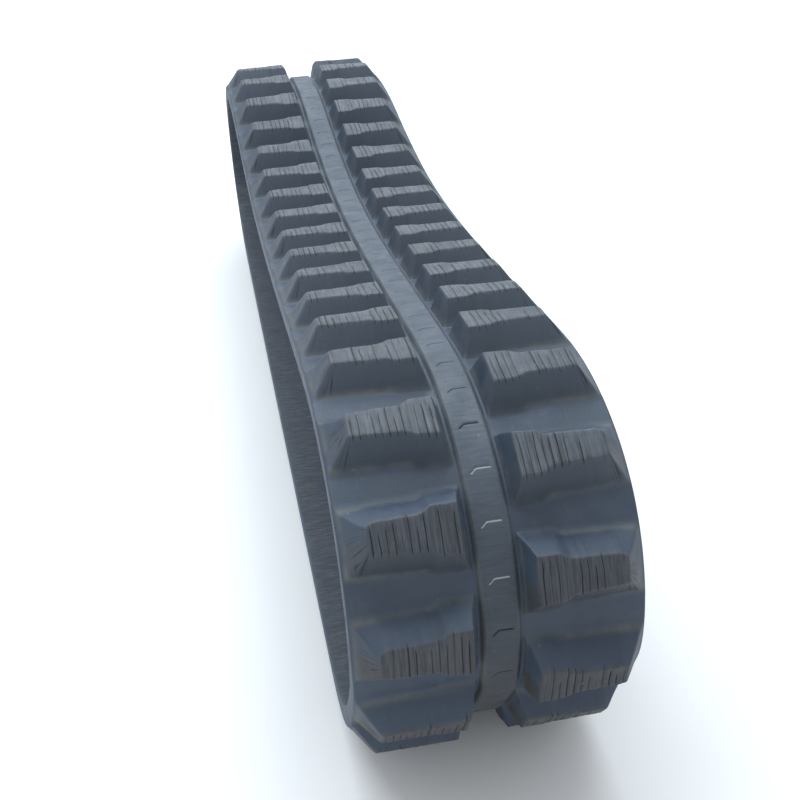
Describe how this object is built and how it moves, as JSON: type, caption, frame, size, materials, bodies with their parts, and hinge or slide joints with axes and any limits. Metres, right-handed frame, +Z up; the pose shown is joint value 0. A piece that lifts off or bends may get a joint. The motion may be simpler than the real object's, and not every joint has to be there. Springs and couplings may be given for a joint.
{
  "type": "rubber track",
  "caption": "Endless rubber excavator track, a flexible lugged band over steel cores with guide horns, standing free on its lower run.",
  "frame": {"origin": "on the ground under the middle of the track's overall length and width", "axes": "+X along the track away from the near end, +Y to the left seen from the near end, +Z up"},
  "size_m": [1.8796, 0.32, 0.5025],
  "materials": {
    "tread_rubber": "matte",
    "forged_steel": "satin"
  },
  "bodies": {
    "ground_run": {"ground_left_rubber_1": "tread_rubber", "ground_right_rubber_1": "tread_rubber", "ground_rib_rubber_1": "tread_rubber", "ground_cores_1": "forged_steel", "ground_left_rubber_2": "tread_rubber", "ground_right_rubber_2": "tread_rubber", "ground_rib_rubber_2": "tread_rubber", "ground_cores_2": "forged_steel", "ground_left_rubber_3": "tread_rubber", "ground_right_rubber_3": "tread_rubber", "ground_rib_rubber_3": "tread_rubber", "ground_cores_3": "forged_steel", "ground_left_rubber_4": "tread_rubber", "ground_right_rubber_4": "tread_rubber", "ground_rib_rubber_4": "tread_rubber", "ground_cores_4": "forged_steel"},
    "near_nose_1": {"near_nose_rubber_1": "tread_rubber", "near_nose_cores_1": "forged_steel"},
    "near_nose_2": {"near_nose_rubber_2": "tread_rubber", "near_nose_cores_2": "forged_steel"},
    "near_nose_3": {"near_nose_rubber_3": "tread_rubber", "near_nose_cores_3": "forged_steel"},
    "near_nose_4": {"near_nose_rubber_4": "tread_rubber", "near_nose_cores_4": "forged_steel"},
    "near_nose_5": {"near_nose_rubber_5": "tread_rubber", "near_nose_cores_5": "forged_steel"},
    "near_nose_6": {"near_nose_rubber_6": "tread_rubber", "near_nose_cores_6": "forged_steel"},
    "near_top_1": {"near_top_rubber_1": "tread_rubber", "near_top_cores_1": "forged_steel"},
    "near_top_2": {"near_top_rubber_2": "tread_rubber", "near_top_cores_2": "forged_steel"},
    "near_top_3": {"near_top_rubber_3": "tread_rubber", "near_top_cores_3": "forged_steel"},
    "near_top_4": {"near_top_rubber_4": "tread_rubber", "near_top_cores_4": "forged_steel"},
    "far_nose_1": {"far_nose_rubber_1": "tread_rubber", "far_nose_cores_1": "forged_steel"},
    "far_nose_2": {"far_nose_rubber_2": "tread_rubber", "far_nose_cores_2": "forged_steel"},
    "far_nose_3": {"far_nose_rubber_3": "tread_rubber", "far_nose_cores_3": "forged_steel"},
    "far_nose_4": {"far_nose_rubber_4": "tread_rubber", "far_nose_cores_4": "forged_steel"},
    "far_nose_5": {"far_nose_rubber_5": "tread_rubber", "far_nose_cores_5": "forged_steel"},
    "far_nose_6": {"far_nose_rubber_6": "tread_rubber", "far_nose_cores_6": "forged_steel"},
    "far_nose_7": {"far_nose_rubber_7": "tread_rubber", "far_nose_cores_7": "forged_steel"},
    "far_top_1": {"far_top_rubber_1": "tread_rubber", "far_top_cores_1": "forged_steel"},
    "far_top_2": {"far_top_rubber_2": "tread_rubber", "far_top_cores_2": "forged_steel"},
    "far_top_3": {"far_top_rubber_3": "tread_rubber", "far_top_cores_3": "forged_steel"}
  },
  "joints": [
    {"name": "near_flex_1", "type": "hinge", "parent": "ground_run", "child": "near_nose_1", "pos_m": [-0.63678, 0, 0.04431], "axis": [0, 1, 0], "range_deg": [-0.51, 0.51], "stiffness_Nm_per_rad": 6100, "springref_deg": -0.41},
    {"name": "near_flex_2", "type": "hinge", "parent": "near_nose_1", "child": "near_nose_2", "pos_m": [-0.82736, 0, 0.12468], "axis": [0, 1, 0], "range_deg": [-0.51, 0.51], "stiffness_Nm_per_rad": 15400, "springref_deg": -0.41},
    {"name": "near_flex_3", "type": "hinge", "parent": "near_nose_2", "child": "near_nose_3", "pos_m": [-0.88573, 0, 0.21533], "axis": [0, 1, 0], "range_deg": [-0.72, 0.72], "stiffness_Nm_per_rad": 12700, "springref_deg": -0.58},
    {"name": "near_flex_4", "type": "hinge", "parent": "near_nose_3", "child": "near_nose_4", "pos_m": [-0.88848, 0, 0.32109], "axis": [0, 1, 0], "range_deg": [-0.96, 0.96], "stiffness_Nm_per_rad": 9500, "springref_deg": -0.77},
    {"name": "near_flex_5", "type": "hinge", "parent": "near_nose_4", "child": "near_nose_5", "pos_m": [-0.82912, 0, 0.40916], "axis": [0, 1, 0], "range_deg": [-0.99, 0.99], "stiffness_Nm_per_rad": 8200, "springref_deg": -0.79},
    {"name": "near_flex_6", "type": "hinge", "parent": "near_nose_5", "child": "near_nose_6", "pos_m": [-0.73089, 0, 0.45187], "axis": [0, 1, 0], "range_deg": [-0.8, 0.8], "stiffness_Nm_per_rad": 8200, "springref_deg": -0.64},
    {"name": "near_flex_7", "type": "hinge", "parent": "near_nose_6", "child": "near_top_1", "pos_m": [-0.62339, 0, 0.45669], "axis": [0, 1, 0], "range_deg": [-0.74, 0.74], "stiffness_Nm_per_rad": 6800, "springref_deg": -0.59},
    {"name": "near_flex_8", "type": "hinge", "parent": "near_top_1", "child": "near_top_2", "pos_m": [-0.40999, 0, 0.42355], "axis": [0, 1, 0], "range_deg": [-0.431, 0.431], "stiffness_Nm_per_rad": 5900, "springref_deg": -0.35},
    {"name": "near_flex_9", "type": "hinge", "parent": "near_top_2", "child": "near_top_3", "pos_m": [-0.19676, 0, 0.38912], "axis": [0, 1, 0], "range_deg": [-1.6, 1.6], "stiffness_Nm_per_rad": 3000, "springref_deg": -0.25},
    {"name": "near_flex_10", "type": "hinge", "parent": "near_top_3", "child": "near_top_4", "pos_m": [-0.03608, 0, 0.36855], "axis": [0, 1, 0], "range_deg": [-2.16, 2.16], "stiffness_Nm_per_rad": 3000, "springref_deg": -0.06},
    {"name": "far_flex_1", "type": "hinge", "parent": "ground_run", "child": "far_nose_1", "pos_m": [0.55122, 0, 0.0443], "axis": [0, 1, 0], "range_deg": [-1.3, 1.3], "stiffness_Nm_per_rad": 3000, "springref_deg": -0.39},
    {"name": "far_flex_2", "type": "hinge", "parent": "far_nose_1", "child": "far_nose_2", "pos_m": [0.65917, 0, 0.04666], "axis": [0, 1, 0], "range_deg": [-0.81, 0.81], "stiffness_Nm_per_rad": 3000, "springref_deg": 0.24},
    {"name": "far_flex_3", "type": "hinge", "parent": "far_nose_2", "child": "far_nose_3", "pos_m": [0.7651, 0, 0.06616], "axis": [0, 1, 0], "range_deg": [-0.179, 0.179], "stiffness_Nm_per_rad": 16800, "springref_deg": 0.14},
    {"name": "far_flex_4", "type": "hinge", "parent": "far_nose_3", "child": "far_nose_4", "pos_m": [0.85566, 0, 0.12283], "axis": [0, 1, 0], "range_deg": [-1.17, 1.17], "stiffness_Nm_per_rad": 4000, "springref_deg": 0.93},
    {"name": "far_flex_5", "type": "hinge", "parent": "far_nose_4", "child": "far_nose_5", "pos_m": [0.89637, 0, 0.22055], "axis": [0, 1, 0], "range_deg": [-1.89, 1.89], "stiffness_Nm_per_rad": 3000, "springref_deg": 1.42},
    {"name": "far_flex_6", "type": "hinge", "parent": "far_nose_5", "child": "far_nose_6", "pos_m": [0.862, 0, 0.32027], "axis": [0, 1, 0], "range_deg": [-1.99, 1.99], "stiffness_Nm_per_rad": 3000, "springref_deg": 1.29},
    {"name": "far_flex_7", "type": "hinge", "parent": "far_nose_6", "child": "far_nose_7", "pos_m": [0.77102, 0, 0.37517], "axis": [0, 1, 0], "range_deg": [-1.43, 1.43], "stiffness_Nm_per_rad": 3000, "springref_deg": 0.99},
    {"name": "far_flex_8", "type": "hinge", "parent": "far_nose_7", "child": "far_top_1", "pos_m": [0.66392, 0, 0.38753], "axis": [0, 1, 0], "range_deg": [-0.71, 0.71], "stiffness_Nm_per_rad": 3600, "springref_deg": 0.57},
    {"name": "far_flex_9", "type": "hinge", "parent": "far_top_1", "child": "far_top_2", "pos_m": [0.50233, 0, 0.37936], "axis": [0, 1, 0], "range_deg": [-1.26, 1.26], "stiffness_Nm_per_rad": 3000, "springref_deg": 0.34},
    {"name": "far_flex_10", "type": "hinge", "parent": "far_top_2", "child": "far_top_3", "pos_m": [0.34127, 0, 0.36206], "axis": [0, 1, 0], "range_deg": [-3.99, 3.99], "stiffness_Nm_per_rad": 3000, "springref_deg": 0.11}
  ],
  "couplings": [
    {"joint": "near_flex_1", "follows": "near_flex_9", "ratio": 0.31494},
    {"joint": "near_flex_2", "follows": "near_flex_9", "ratio": -0.3149},
    {"joint": "near_flex_3", "follows": "near_flex_9", "ratio": -0.44439},
    {"joint": "near_flex_4", "follows": "near_flex_9", "ratio": -0.59836},
    {"joint": "near_flex_5", "follows": "near_flex_9", "ratio": -0.61378},
    {"joint": "near_flex_6", "follows": "near_flex_9", "ratio": -0.49421},
    {"joint": "near_flex_7", "follows": "near_flex_9", "ratio": -0.45648},
    {"joint": "near_flex_8", "follows": "near_flex_9", "ratio": 0.26559},
    {"joint": "near_flex_10", "follows": "near_flex_9", "ratio": 1.3416},
    {"joint": "far_flex_1", "follows": "near_flex_9", "ratio": -0.80831},
    {"joint": "far_flex_2", "follows": "near_flex_9", "ratio": -0.50027},
    {"joint": "far_flex_3", "follows": "near_flex_9", "ratio": 0.1081},
    {"joint": "far_flex_4", "follows": "near_flex_9", "ratio": 0.72523},
    {"joint": "far_flex_5", "follows": "near_flex_9", "ratio": 1.1779},
    {"joint": "far_flex_6", "follows": "near_flex_9", "ratio": 1.2377},
    {"joint": "far_flex_7", "follows": "near_flex_9", "ratio": 0.88904},
    {"joint": "far_flex_8", "follows": "near_flex_9", "ratio": 0.43969},
    {"joint": "far_flex_9", "follows": "near_flex_9", "ratio": -0.78589},
    {"joint": "far_flex_10", "follows": "near_flex_9", "ratio": -2.4832}
  ]
}
